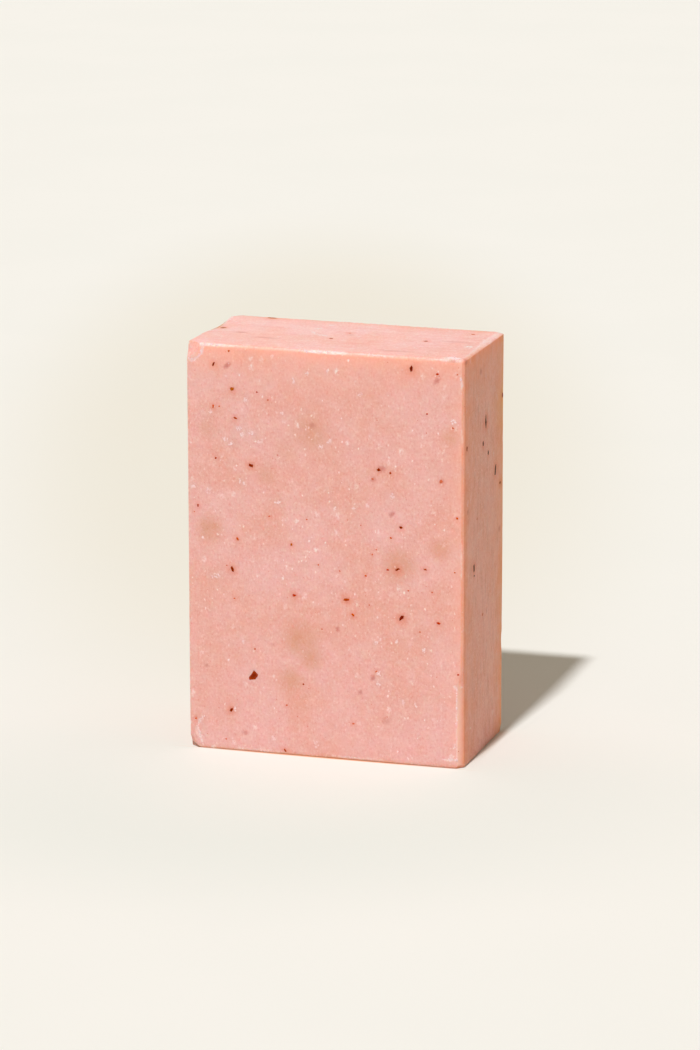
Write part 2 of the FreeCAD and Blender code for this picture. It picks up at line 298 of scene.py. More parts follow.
# White wear and painted highlights, as lines of points: from the left, from the front, from the foot, half width,
# strength
RIM = HEIGHT - 0.25
SCUFFS_AND_HIGHLIGHTS = [
    # the worn top edge of the front, white partly from wear and partly as a painted highlight on its rounded edge
    [(3.0, 0.3, RIM, 0.34, 0.80), (7.6, 0.3, RIM, 0.38, 0.70), (11.5, 0.3, RIM, 0.18, 0.15)],
    [(11.5, 0.3, RIM, 0.18, 0.15), (22.5, 0.3, RIM, 0.20, 0.20), (25.4, 0.3, RIM, 0.46, 1.0)],
    [(25.4, 0.3, RIM, 0.46, 1.0), (31.0, 0.3, RIM, 0.38, 0.95), (33.0, 0.3, RIM, 0.18, 0.15)],
    [(33.0, 0.3, RIM, 0.18, 0.15), (36.0, 0.3, RIM, 0.32, 0.75), (39.6, 0.3, RIM, 0.28, 0.70)],
    [(39.6, 0.3, RIM, 0.28, 0.70), (42.0, 0.3, RIM, 0.18, 0.15), (49.5, 0.3, RIM, 0.18, 0.25)],
    [(49.5, 0.3, RIM, 0.20, 0.35), (51.3, 0.3, RIM, 0.34, 0.80), (54.2, 0.4, RIM, 0.34, 0.80)],
    # the crumbled end of it on the top
    [(50.8, 0.9, HEIGHT, 0.3, 0.8), (52.3, 1.7, HEIGHT, 0.9, 1.0), (53.6, 1.4, HEIGHT, 0.8, 1.0)],
    # a scratch on the top
    [(19.6, 20.8, HEIGHT, 0.34, 0.20), (19.8, 18.0, HEIGHT, 0.40, 0.26), (20.9, 15.2, HEIGHT, 0.40, 0.30)],
    [(20.9, 15.2, HEIGHT, 0.40, 0.30), (23.8, 14.2, HEIGHT, 0.46, 0.34)],
    # the bevel on the top edge of the right side, a painted highlight
    [(54.6, 1.8, RIM, 0.3, 0.35), (54.6, 8.0, HEIGHT, 0.4, 0.40), (54.5, 13.5, HEIGHT, 0.5, 0.50)],
    [(54.5, 13.5, HEIGHT, 0.5, 0.50), (54.3, 19.0, HEIGHT, 0.9, 0.62), (54.4, 24.0, HEIGHT, 0.7, 0.55)],
    [(54.4, 24.0, HEIGHT, 0.7, 0.55), (54.4, 28.2, HEIGHT, 0.7, 0.60)],
    # the left side of the bevel between the front and the right side, and flakes on it
    [(54.0, 0.0, 15.9, 0.16, 0.7), (54.0, 0.0, 9.0, 0.16, 0.55), (54.1, 0.0, 1.5, 0.14, 0.4)],
    [(54.3, 0.0, 77.6, 0.20, 0.6), (54.8, 0.0, 76.4, 0.30, 0.7), (54.8, 0.0, 75.2, 0.26, 0.7)],
    [(54.8, 0.1, 67.0, 0.22, 0.5), (54.9, 0.1, 64.5, 0.26, 0.6)],
    [(54.8, 0.1, 44.5, 0.20, 0.4), (54.9, 0.1, 38.0, 0.22, 0.55)],
    # the dent, and the streak under it
    [(53.4, 0.0, 16.5, 0.15, 0.6), (54.2, 0.1, 16.0, 0.24, 0.8), (55.0, 0.5, 16.3, 0.2, 0.7)],
    [(51.4, 0.0, 1.7, 0.14, 0.6), (52.9, 0.0, 1.7, 0.28, 1.0), (54.4, 0.0, 1.9, 0.18, 0.7)],
    # round the chipped corner
    [(3.3, 0.3, 80.2, 0.38, 0.85), (3.1, 0.0, 79.2, 0.26, 0.7), (3.0, 0.0, 78.5, 0.36, 0.85)],
    [(3.0, 0.0, 78.5, 0.36, 0.85), (2.3, 0.0, 77.7, 0.16, 0.6), (1.2, 0.0, 77.1, 0.36, 0.85)],
    [(1.2, 0.0, 77.1, 0.36, 0.85), (0.3, 0.0, 77.3, 0.16, 0.6)],
    # round the crushed corner, and down its face
    [(2.9, 0.0, 6.4, 0.16, 0.5), (1.9, 0.0, 5.4, 0.26, 0.7), (1.6, 0.0, 4.3, 0.20, 0.5)],
    [(1.6, 0.0, 4.3, 0.20, 0.5), (1.8, 0.0, 3.3, 0.34, 0.8), (2.2, 0.0, 2.2, 0.26, 0.7)],
    [(2.2, 0.0, 2.2, 0.26, 0.7), (2.7, 0.0, 0.7, 0.16, 0.5)],
    [(1.3, 0.1, 3.9, 0.22, 0.5), (1.5, 0.1, 2.6, 0.30, 0.6), (2.6, 0.0, 2.4, 0.14, 0.5)],
    # pale stretches of the foot edge
    [(10.0, 0.1, 0.6, 0.24, 0.35), (19.0, 0.1, 0.6, 0.22, 0.30)],
    [(29.0, 0.1, 0.6, 0.26, 0.45), (39.0, 0.1, 0.6, 0.22, 0.35)],
    # the nick in the back edge of the right side
    [(55.0, 28.3, 20.2, 0.2, 0.6), (54.8, 28.1, 18.4, 0.2, 0.5)],
    # edges that only the back and the left show
    [(0.1, 3.5, HEIGHT, 0.26, 0.6), (0.1, 15.0, HEIGHT, 0.2, 0.4), (0.4, 27.0, HEIGHT, 0.3, 0.7)],
    [(4.0, 28.6, HEIGHT, 0.26, 0.6), (22.0, 28.6, HEIGHT, 0.2, 0.4), (46.0, 28.6, HEIGHT, 0.3, 0.8)],
    [(0.1, 28.6, 12.0, 0.26, 0.7), (0.1, 28.6, 40.0, 0.18, 0.4), (0.1, 28.6, 71.0, 0.26, 0.6)],
    [(6.0, 28.6, 0.2, 0.26, 0.5), (48.0, 28.6, 0.2, 0.26, 0.6)],
]


def linear(colour):
    """A colour written from 0 to 255 as it looks, in the shader's own numbers."""
    return tuple((c / 3294.6) if c <= 10.3 else ((c / 255 + 0.055) / 1.055) ** 2.4 for c in colour)


def rgba(colour):
    return (*linear(colour), 1.0)


def face_frame(face):
    """(start, along, up, out) of a face of the bar, as arrays."""
    start, along, up = (np.array(v, float) for v in FACES[face])
    return start, along, up, np.cross(along, up)


def on_face(face, u, v):
    start, along, up, _ = face_frame(face)
    return start + along * u + up * v


def face_size(face):
    _, along, up, _ = face_frame(face)
    return abs((HIGH - LOW) @ along), abs((HIGH - LOW) @ up)


# The bar's mesh

def spaced(length):
    """Places along an edge of the bar, closer together near its ends."""
    band = FINE_BAND + MIDDLING_BAND
    fine = np.linspace(0, FINE_BAND, round(FINE_BAND / FINE) + 1)
    middling = np.linspace(FINE_BAND, band, round(MIDDLING_BAND / MIDDLING) + 1)
    ends = np.concatenate([fine, middling[1:]])
    middle = np.linspace(band, length - band, round((length - 2 * band) / COARSE) + 1)
    return np.concatenate([ends, middle[1:-1], length - ends[::-1]])


def lattice():
    """(points, quads) of a box as large as the bar."""
    lines = [LOW[axis] + spaced(HIGH[axis] - LOW[axis]) for axis in range(3)]
    outer = np.zeros([len(line) for line in lines], bool)
    for axis in range(3):
        for end in (0, -1):
            np.moveaxis(outer, axis, 0)[end] = True
    number = np.full(outer.shape, -1)
    number[outer] = np.arange(outer.sum())
    points = np.stack([line[at] for line, at in zip(lines, np.nonzero(outer))], axis=1)
    quads = []
    for axis in range(3):
        for end in (0, -1):
            side = np.moveaxis(number, axis, 0)[end]
            quad = np.stack([side[:-1, :-1], side[:-1, 1:], side[1:, 1:], side[1:, :-1]], axis=-1).reshape(-1, 4)
            turned = (axis == 1) != (end == -1)
            quads.append(quad[:, ::-1] if turned else quad)
    return points, np.concatenate(quads)


def onto_solid(points):
    """Moves the box's points onto the solid, along rays that fan out round its edges."""
    solid = BVHTree.FromObject(SOAP, bpy.context.evaluated_depsgraph_get())
    targets = np.clip(points, LOW + RAY_INSET, HIGH - RAY_INSET)
    landed = points.copy()
    for i, (start, target) in enumerate(zip(points, targets)):
        way = Vector(target - start).normalized()
        hit = solid.ray_cast((Vector(start) - way) * MM, way)[0]
        if hit is not None:
            landed[i] = np.array(hit) / MM
    return landed


def neighbours(quads):
    """Each pair of points that an edge joins, both ways round."""
    pairs = np.concatenate([quads[:, [a, (a + 1) % 4]] for a in range(4)])
    return np.unique(np.concatenate([pairs, pairs[:, ::-1]]), axis=0)


def mean_of_neighbours(values, pairs):
    total = np.zeros_like(values)
    np.add.at(total, pairs[:, 0], values[pairs[:, 1]])
    count = np.bincount(pairs[:, 0], minlength=len(values)).astype(float)
    return total / (count[:, None] if values.ndim > 1 else count)


def normals_of(points, quads):
    a, b, c, d = (points[quads[:, i]] for i in range(4))
    face = np.cross(c - a, d - b)
    normal = np.zeros_like(points)
    for i in range(4):
        np.add.at(normal, quads[:, i], face)
    return normal / np.linalg.norm(normal, axis=1)[:, None]


def wave(points, length, seed, stretch=(1, 1, 1)):
    """Smooth noise of about -1 to 1, with waves of this length."""
    shift = Vector((seed * 17.3, seed * 5.1, seed * 11.7))
    scaled = points / (np.array(stretch) * length)
    return np.array([noise.noise(Vector(p) + shift) for p in scaled])


def smoothstep(low, high, value):
    t = np.clip((value - low) / (high - low), 0, 1)
    return t * t * (3 - 2 * t)


def edge_distance(points):
    """How far each point lies from the nearest edge of the bar."""
    gaps = np.minimum(points - LOW, HIGH - points)
    return np.sort(gaps, axis=1)[:, 1]


def ball(points, centre, radius):
    """1 at the centre, falling smoothly to 0 at the radius."""
    return 1 - smoothstep(0, radius, np.linalg.norm(points - np.array(centre), axis=1))


def bar_surface():
    """(points, quads, marks) of the worn bar. The marks are numbers that the material reads."""
    box_points, quads = lattice()
    pairs = neighbours(quads)
    points = onto_solid(box_points)
    near_edge = 1 - smoothstep(1.8, 2.9, edge_distance(box_points))
    for _ in range(2):
        points += 0.5 * near_edge[:, None] * (mean_of_neighbours(points, pairs) - points)
    normal = normals_of(points, quads)

    facing = {name: np.clip(normal @ face_frame(name)[3], 0, 1) ** 2 for name in FACES}
    pale = wear_and_highlights(points)
    broken = broken_faces(points)
    marks = {
        "pale": pale,
        "blotch": blotches(points),
        "halo": halos(points),
        "top": facing["top"],
        "side": facing["right"] + facing["left"],
        "rub": rubbed(points, normal),
        **painted_light_and_shade(points, facing),
    }
    marks["peach_glow"] *= (1 - 0.85 * broken) * (1 - 0.75 * pale)

    depth = SKIN + WAVE_DEPTH * (0.5 + 0.5 * wave(points, 19, 1)) * (1 - 0.8 * facing["top"])
    depth += 0.012 * wave(points, 4.2, 2) + 0.008 * wave(points, 1.6, 3)
    rough = np.clip(pale + 0.6 * broken, 0, 1)
    depth += rough * (0.05 + 0.07 * wave(points, 0.9, 4) + 0.05 * wave(points, 0.42, 5))
    depth += near_edge * 0.03 * np.abs(wave(points, 3.1, 6))
    depth += facing["right"] * 0.012 * wave(points, 1.1, 8, (1, 1, 9))
    depth += facing["top"] * 0.012 * wave(points, 1.1, 9, (12, 1, 1))
    depth += pits(points) + DIP * ball(points, LOW + DIP_PLACE, DIP_RADIUS)
    depth *= 1 - facing["foot"]
    points = points - normal * np.maximum(depth, 0)[:, None]
    across = (points[:, 0] - LOW[0]) / WIDTH
    points[:, 2] *= 1 - TOP_FALL / HEIGHT * across
    return np.clip(points, LOW, HIGH), quads, marks


def wear_and_highlights(points):
    """White wear and painted highlights: 1 along the middle of the lines, with a ragged outline."""
    ragged = 0.55 * wave(points, 0.8, 11) + 0.45 * wave(points, 0.35, 12)
    total = np.zeros(len(points))
    for line in SCUFFS_AND_HIGHLIGHTS:
        places = np.array(line)
        places[:, :3] += LOW
        for start, end in zip(places, places[1:]):
            way = (end - start)[:3]
            share = np.clip((points - start[:3]) @ way / (way @ way), 0, 1)[:, None]
            nearest, half, strength = np.split(start + share * (end - start), [3, 4], axis=1)
            half, strength = half[:, 0], strength[:, 0]
            gap = np.linalg.norm(points - nearest, axis=1) + half * ragged
            total = np.maximum(total, strength * (1 - smoothstep(0.45 * half, 1.25 * half, gap)))
    return total


def broken_faces(points):
    """1 where soap broke or rubbed away, at the corners and at the dent in the upright edge."""
    corners = [
        ((0, 0, HEIGHT), (3.1, 1.2, 3.3)),
        ((0, 0, 0), (2.6, 1.4, 6.0)),
        ((0, DEPTH, HEIGHT), (1.8, 1.8, 1.8)),
        ((WIDTH, DEPTH, 0), (1.6, 1.6, 1.6)),
        ((WIDTH, 0, 17), (1.2, 1.2, 1.8)),
        ((WIDTH - 2.5, 0, HEIGHT), (2.4, 1.6, 0.8)),
    ]
    total = np.zeros(len(points))
    for corner, reach in corners:
        far = np.linalg.norm((points - LOW - np.array(corner)) / np.array(reach), axis=1)
        total = np.maximum(total, 1 - smoothstep(0.8, 1.0, far))
    return total


def painted_light_and_shade(points, facing):
    """Painted light and shade: warmer colour where light soaking through near an edge is painted in, painted shade
    under the crushed corner, and darker colour painted towards the foot.
    """
    x, y, z = (points - LOW).T
    uneven = 0.8 + 0.35 * wave(points, 3.4, 13) + 0.25 * wave(points, 9.0, 14)
    hot = np.exp(-(((z - 67) / 4.0) ** 2))
    # Painted light soaking through: a peach glow under the top edge of the front and along its right edge
    peach_glow = facing["front"] * np.maximum(np.exp(-(HEIGHT - z) / 3.6), 0.55 * np.exp(-(WIDTH - x) / 1.8))
    # Painted light soaking through: an orange glow on the right side near its front, top and back edges, and on the
    # top near its back edge
    near = np.maximum(np.exp(-y / 3.8), np.exp(-(HEIGHT - z) / 5.0))
    behind = np.exp(-(DEPTH - y) / 3.4)
    orange = facing["right"] ** 0.8 * np.maximum(near, 0.9 * behind)
    orange = np.maximum(orange, facing["top"] * 0.5 * np.exp(-(DEPTH - y) / 1.6))
    # Painted light soaking through the back edge of the right side: an amber band, strongest about 67 mm up
    amber_glow = facing["right"] * (0.35 + 0.65 * hot) * behind
    # Painted light soaking through the foot edge of the front: a warm orange line along it
    ember_glow = np.exp(-z / 0.34) * np.exp(-y / 1.2)
    # Painted shade: the dark underside of the crushed corner at the front left foot
    gap = np.exp(-y / 1.5) * (1 - smoothstep(0.92, 1.10, z + 0.42 * x))
    # Painted shade: darker towards the foot of the right side, most at its back, and towards the foot of the front;
    # the top is also made darker towards its right end
    dusk_shade = facing["right"] * np.exp(-z / 3.8) * (0.3 + 0.7 * y / DEPTH)
    dusk_shade += facing["front"] * 0.10 * np.exp(-z / 12) + facing["top"] * 0.12 * smoothstep(25, 52, x)
    return {
        "peach_glow": np.clip(peach_glow * uneven, 0, 1),
        "orange": np.clip(orange * uneven, 0, 1),
        "amber_glow": amber_glow,
        "ember_glow": np.clip(ember_glow * uneven, 0, 1),
        "gap": gap,
        "dusk_shade": dusk_shade,
    }


def rubbed(points, normal):
    """The pale bevel between the front and the right side."""
    turned = normal @ np.array((0.707, -0.707, 0.0))
    x, y, z = (points - LOW).T
    near = (WIDTH - x < 2) & (y < 2)
    across = 1 - smoothstep(0.2, 1.1, y)
    along = 1 - 0.70 * smoothstep(16.0, 18.0, z)
    return near * across * along * smoothstep(0.86, 0.97, turned) * (0.8 + 0.4 * wave(points, 1.5, 15, (1, 1, 3)))


def blotches(points):
    total = np.zeros(len(points))
    for u, v, radius, strength in BLOTCHES:
        total = np.maximum(total, strength * ball(points, on_face("front", u, v), radius * 1.3))
    return total


def halos(points):
    """Colour that has bled out of the larger flecks."""
    total = np.zeros(len(points))
    for face, flecks in FLECKS.items():
        for u, v, length, width, _, _ in flecks:
            strength = min(1.0, length / 1.1)
            total = np.maximum(total, strength * ball(points, on_face(face, u, v), 0.7 + 0.9 * length))
    return total


def pits(points):
    """Small hollows beside a few flecks, and others by chance."""
    rng = random.Random(SEED)
    beside = [(14.3, 14.0), (9.6, 36.6), (43.7, 29.3), (53.7, 77.0), (20.5, 24.0)]
    places = [on_face("front", u, v) for u, v in beside]
    for face, count in (("front", 26), ("back", 40), ("right", 16), ("left", 18), ("top", 12)):
        length, height = face_size(face)
        places += [on_face(face, rng.uniform(2, length - 2), rng.uniform(2, height - 2)) for _ in range(count)]
    total = np.zeros(len(points))
    for place in places:
        radius, deep = rng.uniform(0.8, 1.4), rng.uniform(0.03, 0.09)
        total = np.maximum(total, deep * ball(points, place, radius))
    return total


def mesh_object(name, points, polygons, material):
    mesh = bpy.data.meshes.new(name)
    mesh.from_pydata((points * MM).tolist(), [], polygons)
    mesh.materials.append(material)
    mesh.shade_smooth()
    piece = bpy.data.objects.new(name, mesh)
    bpy.context.scene.collection.objects.link(piece)
    return piece


def add_mark(piece, name, values):
    mark = piece.data.attributes.new(name, "FLOAT", "POINT")
    mark.data.foreach_set("value", np.ascontiguousarray(values, dtype=np.float32))


def add_tone(piece, colours):
    tone = piece.data.color_attributes.new("tone", "FLOAT_COLOR", "POINT")
    tone.data.foreach_set("color", np.array(colours, dtype=np.float32).ravel())


# Materials

class Nodes:
    """Short calls for the nodes of one material."""

    def __init__(self, name):
        self.material = bpy.data.materials.new(name)
        self.material.use_nodes = True
        self.tree = self.material.node_tree
        self.shader = self.tree.nodes["Principled BSDF"]
        place = self.make("ShaderNodeTexCoord")
        self.place = self.scaled(place.outputs["Object"], 1 / MM)

    def make(self, kind, **settings):
        node = self.tree.nodes.new(kind)
        for key, value in settings.items():
            setattr(node, key, value)
        return node

    def plug(self, socket, value):
        if isinstance(value, bpy.types.NodeSocket):
            self.tree.links.new(value, socket)
        else:
            socket.default_value = value

    def scaled(self, vector, factor):
        node = self.make("ShaderNodeVectorMath", operation="MULTIPLY")
        self.plug(node.inputs[0], vector)
        self.plug(node.inputs[1], factor if isinstance(factor, tuple) else (factor,) * 3)
        return node.outputs[0]

    def added(self, first, second):
        node = self.make("ShaderNodeVectorMath", operation="ADD")
        self.plug(node.inputs[0], first)
        self.plug(node.inputs[1], second)
        return node.outputs[0]

    def math(self, operation, first, second=0.0):
        node = self.make("ShaderNodeMath", operation=operation)
        self.plug(node.inputs[0], first)
        self.plug(node.inputs[1], second)
        return node.outputs[0]

    def noise(self, length, detail=2.0, rough=0.5, stretch=(1, 1, 1), seed=0.0, output="Fac"):
        """Noise with waves of about this many millimetres."""
        node = self.make("ShaderNodeTexNoise")
        where = self.scaled(self.place, tuple(1 / (length * s) for s in stretch))
        self.plug(node.inputs["Vector"], self.added(where, (seed, seed * 0.7, seed * 1.3)))
        node.inputs["Scale"].default_value = 1.0
        node.inputs["Detail"].default_value = detail
        node.inputs["Roughness"].default_value = rough
        return node.outputs[output]

    def wobble(self, length, amount, seed=0.0):
        """A vector that leans up to this many millimetres each way."""
        colours = self.noise(length, seed=seed, output="Color")
        return self.scaled(self.added(colours, (-0.5, -0.5, -0.5)), 2.0 * amount)

    def ramp(self, value, low, high, to_low=0.0, to_high=1.0):
        node = self.make("ShaderNodeMapRange", interpolation_type="SMOOTHSTEP")
        for socket, number in zip(node.inputs, (value, low, high, to_low, to_high)):
            self.plug(socket, number)
        return node.outputs["Result"]

    def mix(self, factor, first, second, blend="MIX"):
        node = self.make("ShaderNodeMix", data_type="RGBA", blend_type=blend)
        self.plug(node.inputs["Factor"], factor)
        self.plug(node.inputs["A"], first)
        self.plug(node.inputs["B"], second)
        return node.outputs["Result"]

    def mark(self, name):
        return self.make("ShaderNodeAttribute", attribute_name=name).outputs["Fac"]

    def specks(self, spacing, radius, share, wobble, seed=0.0, stretch=(1, 1, 1)):
        """Small ragged specks: their spacing, their largest radius and the share of them that shows."""
        node = self.make("ShaderNodeTexVoronoi", feature="F1")
        where = self.scaled(self.added(self.place, wobble), tuple(1 / (spacing * s) for s in stretch))
        self.plug(node.inputs["Vector"], self.added(where, (seed, seed * 1.7, seed * 0.4)))
        node.inputs["Scale"].default_value = 1.0
        split = self.make("ShaderNodeSeparateColor")
        self.plug(split.inputs["Color"], node.outputs["Color"])
        reach = self.ramp(split.outputs[1], 0.0, 1.0, 0.45 * radius / spacing, radius / spacing)
        near = self.ramp(self.math("DIVIDE", node.outputs["Distance"], reach), 0.35, 1.0, 1.0, 0.0)
        shown = self.math("LESS_THAN", split.outputs[0], share)
        strength = self.ramp(split.outputs[2], 0.0, 1.0, 0.35, 1.0)
        return self.math("MULTIPLY", self.math("MULTIPLY", near, shown), strength)

    def oval(self, where, place, turn, halves):
        """How far out of an oval each place lies: 1 on its outline."""
        node = self.make("ShaderNodeMapping", vector_type="TEXTURE")
        self.plug(node.inputs["Vector"], where)
        node.inputs["Location"].default_value = place
        node.inputs["Rotation"].default_value = turn
        node.inputs["Scale"].default_value = halves
        far = self.make("ShaderNodeVectorMath", operation="LENGTH")
        self.plug(far.inputs[0], node.outputs[0])
        return far.outputs["Value"]

    def spots(self, lists, soft, wobble):
        """Soft oval spots on the faces, each with a strength of its own."""
        where = self.added(self.place, wobble)
        total = 0.0
        for face, spots in lists.items():
            _, along, up, out = face_frame(face)
            for u, v, length, width, turn, strength in spots:
                turned = Matrix.Rotation(math.radians(turn), 3, Vector(out)) @ Matrix((along, up, out)).transposed()
                halves = (length / 2, width / 2, 1.5)
                far = self.oval(where, on_face(face, u, v), turned.to_euler(), halves)
                total = self.math("MAXIMUM", self.ramp(far, 1 - soft, 1 + soft, strength, 0.0), total)
        return total

    def bump(self, height, distance, normal=None):
        node = self.make("ShaderNodeBump")
        self.plug(node.inputs["Height"], height)
        node.inputs["Distance"].default_value = distance * MM
        node.inputs["Strength"].default_value = 1.0
        if normal is not None:
            self.plug(node.inputs["Normal"], normal)
        return node.outputs["Normal"]


# Painted light and shade, as factors of red, green and blue on the colour of the front: the top lighter as if more
# lit, the sides warmer and darker as if in shade, and darker again where the dusk mark lies
TOP_LIGHT_TINT = (1.15, 1.11, 1.12, 1.0)
SIDE_SHADE_TINT = (1.10, 0.87, 0.72, 1.0)
DUSK_SHADE_TINT = (0.76, 0.64, 0.72, 1.0)


def soap_colour(n):
    """The colour of the soap: mottled, with buried flecks, specks and white wear, and with painted light and shade:
    the top lighter, the sides and the parts near the foot darker, a warm glow of light soaking through painted near
    the edges, painted shade under the crushed corner and a painted highlight along the top edge of the front.
    """
    fine = n.noise(0.42, 3.0, 0.65, stretch=(1, 1, 1.4))
    medium = n.noise(2.2, 3.0, 0.6, seed=3.0)
    broad = n.noise(12.0, 2.0, 0.55, seed=7.0)
    crowd = n.noise(4.5, 2.0, 0.5, seed=11.0)
    ragged = n.wobble(0.5, 0.30)

    colour = n.mix(n.ramp(broad, 0.34, 0.66), rgba((234, 184, 180)), rgba((231, 174, 162)))
    colour = n.mix(n.ramp(medium, 0.44, 0.70, 0.0, 0.5), colour, rgba((238, 194, 188)))
    colour = n.mix(n.ramp(medium, 0.44, 0.28, 0.0, 0.35), colour, rgba((228, 162, 150)))
    colour = n.mix(n.ramp(fine, 0.50, 0.72, 0.0, 0.52), colour, rgba((222, 142, 132)))
    colour = n.mix(n.ramp(fine, 0.48, 0.28, 0.0, 0.56), colour, rgba((244, 212, 206)))

    brushed = n.noise(0.7, 3.0, 0.6, stretch=(1, 1, 6), seed=4.0)
    streaks = n.math("MULTIPLY", n.mark("side"), n.ramp(brushed, 0.45, 0.72, 0.0, 0.50))
    colour = n.mix(streaks, colour, rgba((206, 142, 130)))
    grit = n.math("MULTIPLY", n.mark("side"), n.ramp(n.noise(0.5, 3.0, 0.7, seed=13.0), 0.52, 0.72, 0.0, 0.7))
    colour = n.mix(grit, colour, rgba((250, 216, 202)))
    smeared = n.noise(1.4, 3.0, 0.6, stretch=(6, 1, 1), seed=6.0)
    streaks = n.math("MULTIPLY", n.mark("top"), n.ramp(smeared, 0.46, 0.78, 0.0, 0.45))
    colour = n.mix(streaks, colour, rgba((226, 150, 136)))

    stain = n.math("MULTIPLY", n.mark("blotch"), n.ramp(medium, 0.25, 0.65, 0.5, 1.0))
    colour = n.mix(n.math("MULTIPLY", stain, 0.80), colour, rgba((212, 150, 117)))
    colour = n.mix(n.math("MULTIPLY", n.mark("halo"), 0.60), colour, rgba((228, 124, 90)))
    # Painted light and shade: the top lighter, the sides warmer and darker, and darker towards the foot
    colour = n.mix(n.mark("top"), colour, TOP_LIGHT_TINT, "MULTIPLY")
    colour = n.mix(n.mark("side"), colour, SIDE_SHADE_TINT, "MULTIPLY")
    colour = n.mix(n.mark("dusk_shade"), colour, DUSK_SHADE_TINT, "MULTIPLY")
    # Painted light soaking through near the edges: a peach glow on the front, orange on the right side and the top,
    # amber at the back of the right side
    colour = n.mix(n.math("MULTIPLY", n.mark("peach_glow"), 0.80), colour, rgba((255, 186, 162)))
    colour = n.mix(n.math("MULTIPLY", n.mark("orange"), 0.95), colour, rgba((255, 148, 94)))
    colour = n.mix(n.math("MULTIPLY", n.mark("amber_glow"), 0.90), colour, rgba((240, 166, 66)))
    colour = n.mix(n.math("MULTIPLY", n.mark("rub"), 0.60), colour, rgba((252, 228, 220)))
    # Painted light: the warm line along the foot of the front
    colour = n.mix(n.math("MULTIPLY", n.mark("ember_glow"), 0.95), colour, rgba((240, 130, 60)))
    # Painted shade: dark brown under the crushed corner
    colour = n.mix(n.math("MULTIPLY", n.mark("gap"), 0.95), colour, rgba((120, 78, 44)))

    colour = n.mix(n.spots(BURIED, 0.8, ragged), colour, rgba((184, 62, 54)))
    dots = n.specks(0.62, 0.16, 0.28, n.wobble(0.3, 0.1, 12.0), 3.0)
    colour = n.mix(n.math("MULTIPLY", dots, 0.5), colour, rgba((214, 92, 80)))
    colour = n.mix(n.specks(2.0, 0.24, 0.36, ragged, 5.0), colour, rgba((208, 80, 62)))
    small = n.specks(0.66, 0.24, 0.45, ragged, 1.0, (1, 1, 1.5))
    large = n.specks(2.1, 0.80, 0.42, n.wobble(0.5, 0.5, 8.0), 2.0, (1, 1, 1.3))
    large = n.math("MULTIPLY", large, n.ramp(fine, 0.62, 0.38, 0.3, 1.0))
    white = n.math("MULTIPLY", n.math("MAXIMUM", small, large), n.ramp(crowd, 0.60, 0.40, 0.12, 0.95))
    white = n.math("MULTIPLY", white, n.ramp(n.mark("side"), 0.0, 1.0, 1.0, 0.35))
    colour = n.mix(white, colour, rgba((249, 227, 226)))
    # White wear, with painted highlights along the top edge of the front and the bevel of the right side's top edge
    worn = n.math("MULTIPLY", n.mark("pale"), n.ramp(fine, 0.66, 0.40, 0.50, 0.98))
    return n.mix(worn, colour, rgba((251, 229, 227)))


def soap_material():
    n = Nodes("soap")
    n.plug(n.shader.inputs["Base Color"], soap_colour(n))
    n.plug(n.shader.inputs["Roughness"], n.ramp(n.noise(2.4, seed=3.0), 0.3, 0.7, 0.42, 0.60))
    n.shader.inputs["IOR"].default_value = 1.45
    n.shader.inputs["Specular IOR Level"].default_value = 0.42
    n.shader.inputs["Subsurface Weight"].default_value = 0.7
    n.shader.inputs["Subsurface Radius"].default_value = (1.0, 0.30, 0.17)
    n.shader.inputs["Subsurface Scale"].default_value = 1.9 * MM
    grain = n.bump(n.noise(0.35, 4.0, 0.65, seed=2.0), 0.05)
    grain = n.bump(n.noise(1.4, 2.0, 0.5, seed=9.0), 0.10, grain)
    n.plug(n.shader.inputs["Normal"], grain)
    return n.material


def fleck_material():
    n = Nodes("fleck")
    tone = n.make("ShaderNodeAttribute", attribute_name="tone").outputs["Color"]
    grain = n.noise(0.22, 3.0, 0.6)
    colour = n.mix(n.ramp(grain, 0.44, 0.75, 0.0, 0.22), tone, rgba((60, 16, 4)))
    colour = n.mix(n.ramp(grain, 0.42, 0.22, 0.0, 0.25), colour, rgba((212, 96, 40)))
    n.plug(n.shader.inputs["Base Color"], colour)
    n.plug(n.shader.inputs["Roughness"], n.ramp(grain, 0.3, 0.7, 0.55, 0.8))
    n.shader.inputs["Specular IOR Level"].default_value = 0.06
    n.plug(n.shader.inputs["Normal"], n.bump(grain, 0.04))
    return n.material


def crumb_material():
    n = Nodes("crumb")
    tone = n.make("ShaderNodeAttribute", attribute_name="tone").outputs["Color"]
    grain = n.noise(0.3, 3.0, 0.6)
    colour = n.mix(n.ramp(grain, 0.50, 0.75, 0.0, 0.25), tone, rgba((234, 180, 172)))
    n.plug(n.shader.inputs["Base Color"], colour)
    n.plug(n.shader.inputs["Roughness"], n.ramp(grain, 0.3, 0.7, 0.45, 0.65))
    n.shader.inputs["Specular IOR Level"].default_value = 0.3
    n.plug(n.shader.inputs["Normal"], n.bump(grain, 0.04))
    return n.material


# Flecks and crumbs

class Patchwork:
    """Many small meshes that make one piece, with a colour at each point."""

    def __init__(self):
        self.points = []
        self.polygons = []
        self.colours = []

    def add(self, points, polygons, colours):
        start = len(self.points)
        self.points += list(points)
        self.polygons += [tuple(start + i for i in polygon) for polygon in polygons]
        self.colours += list(colours)

    def made(self, name, material):
        placed = np.clip(np.array(self.points), LOW + 0.005, HIGH - 0.005)
        piece = mesh_object(name, placed, self.polygons, material)
        add_tone(piece, self.colours)
        return piece


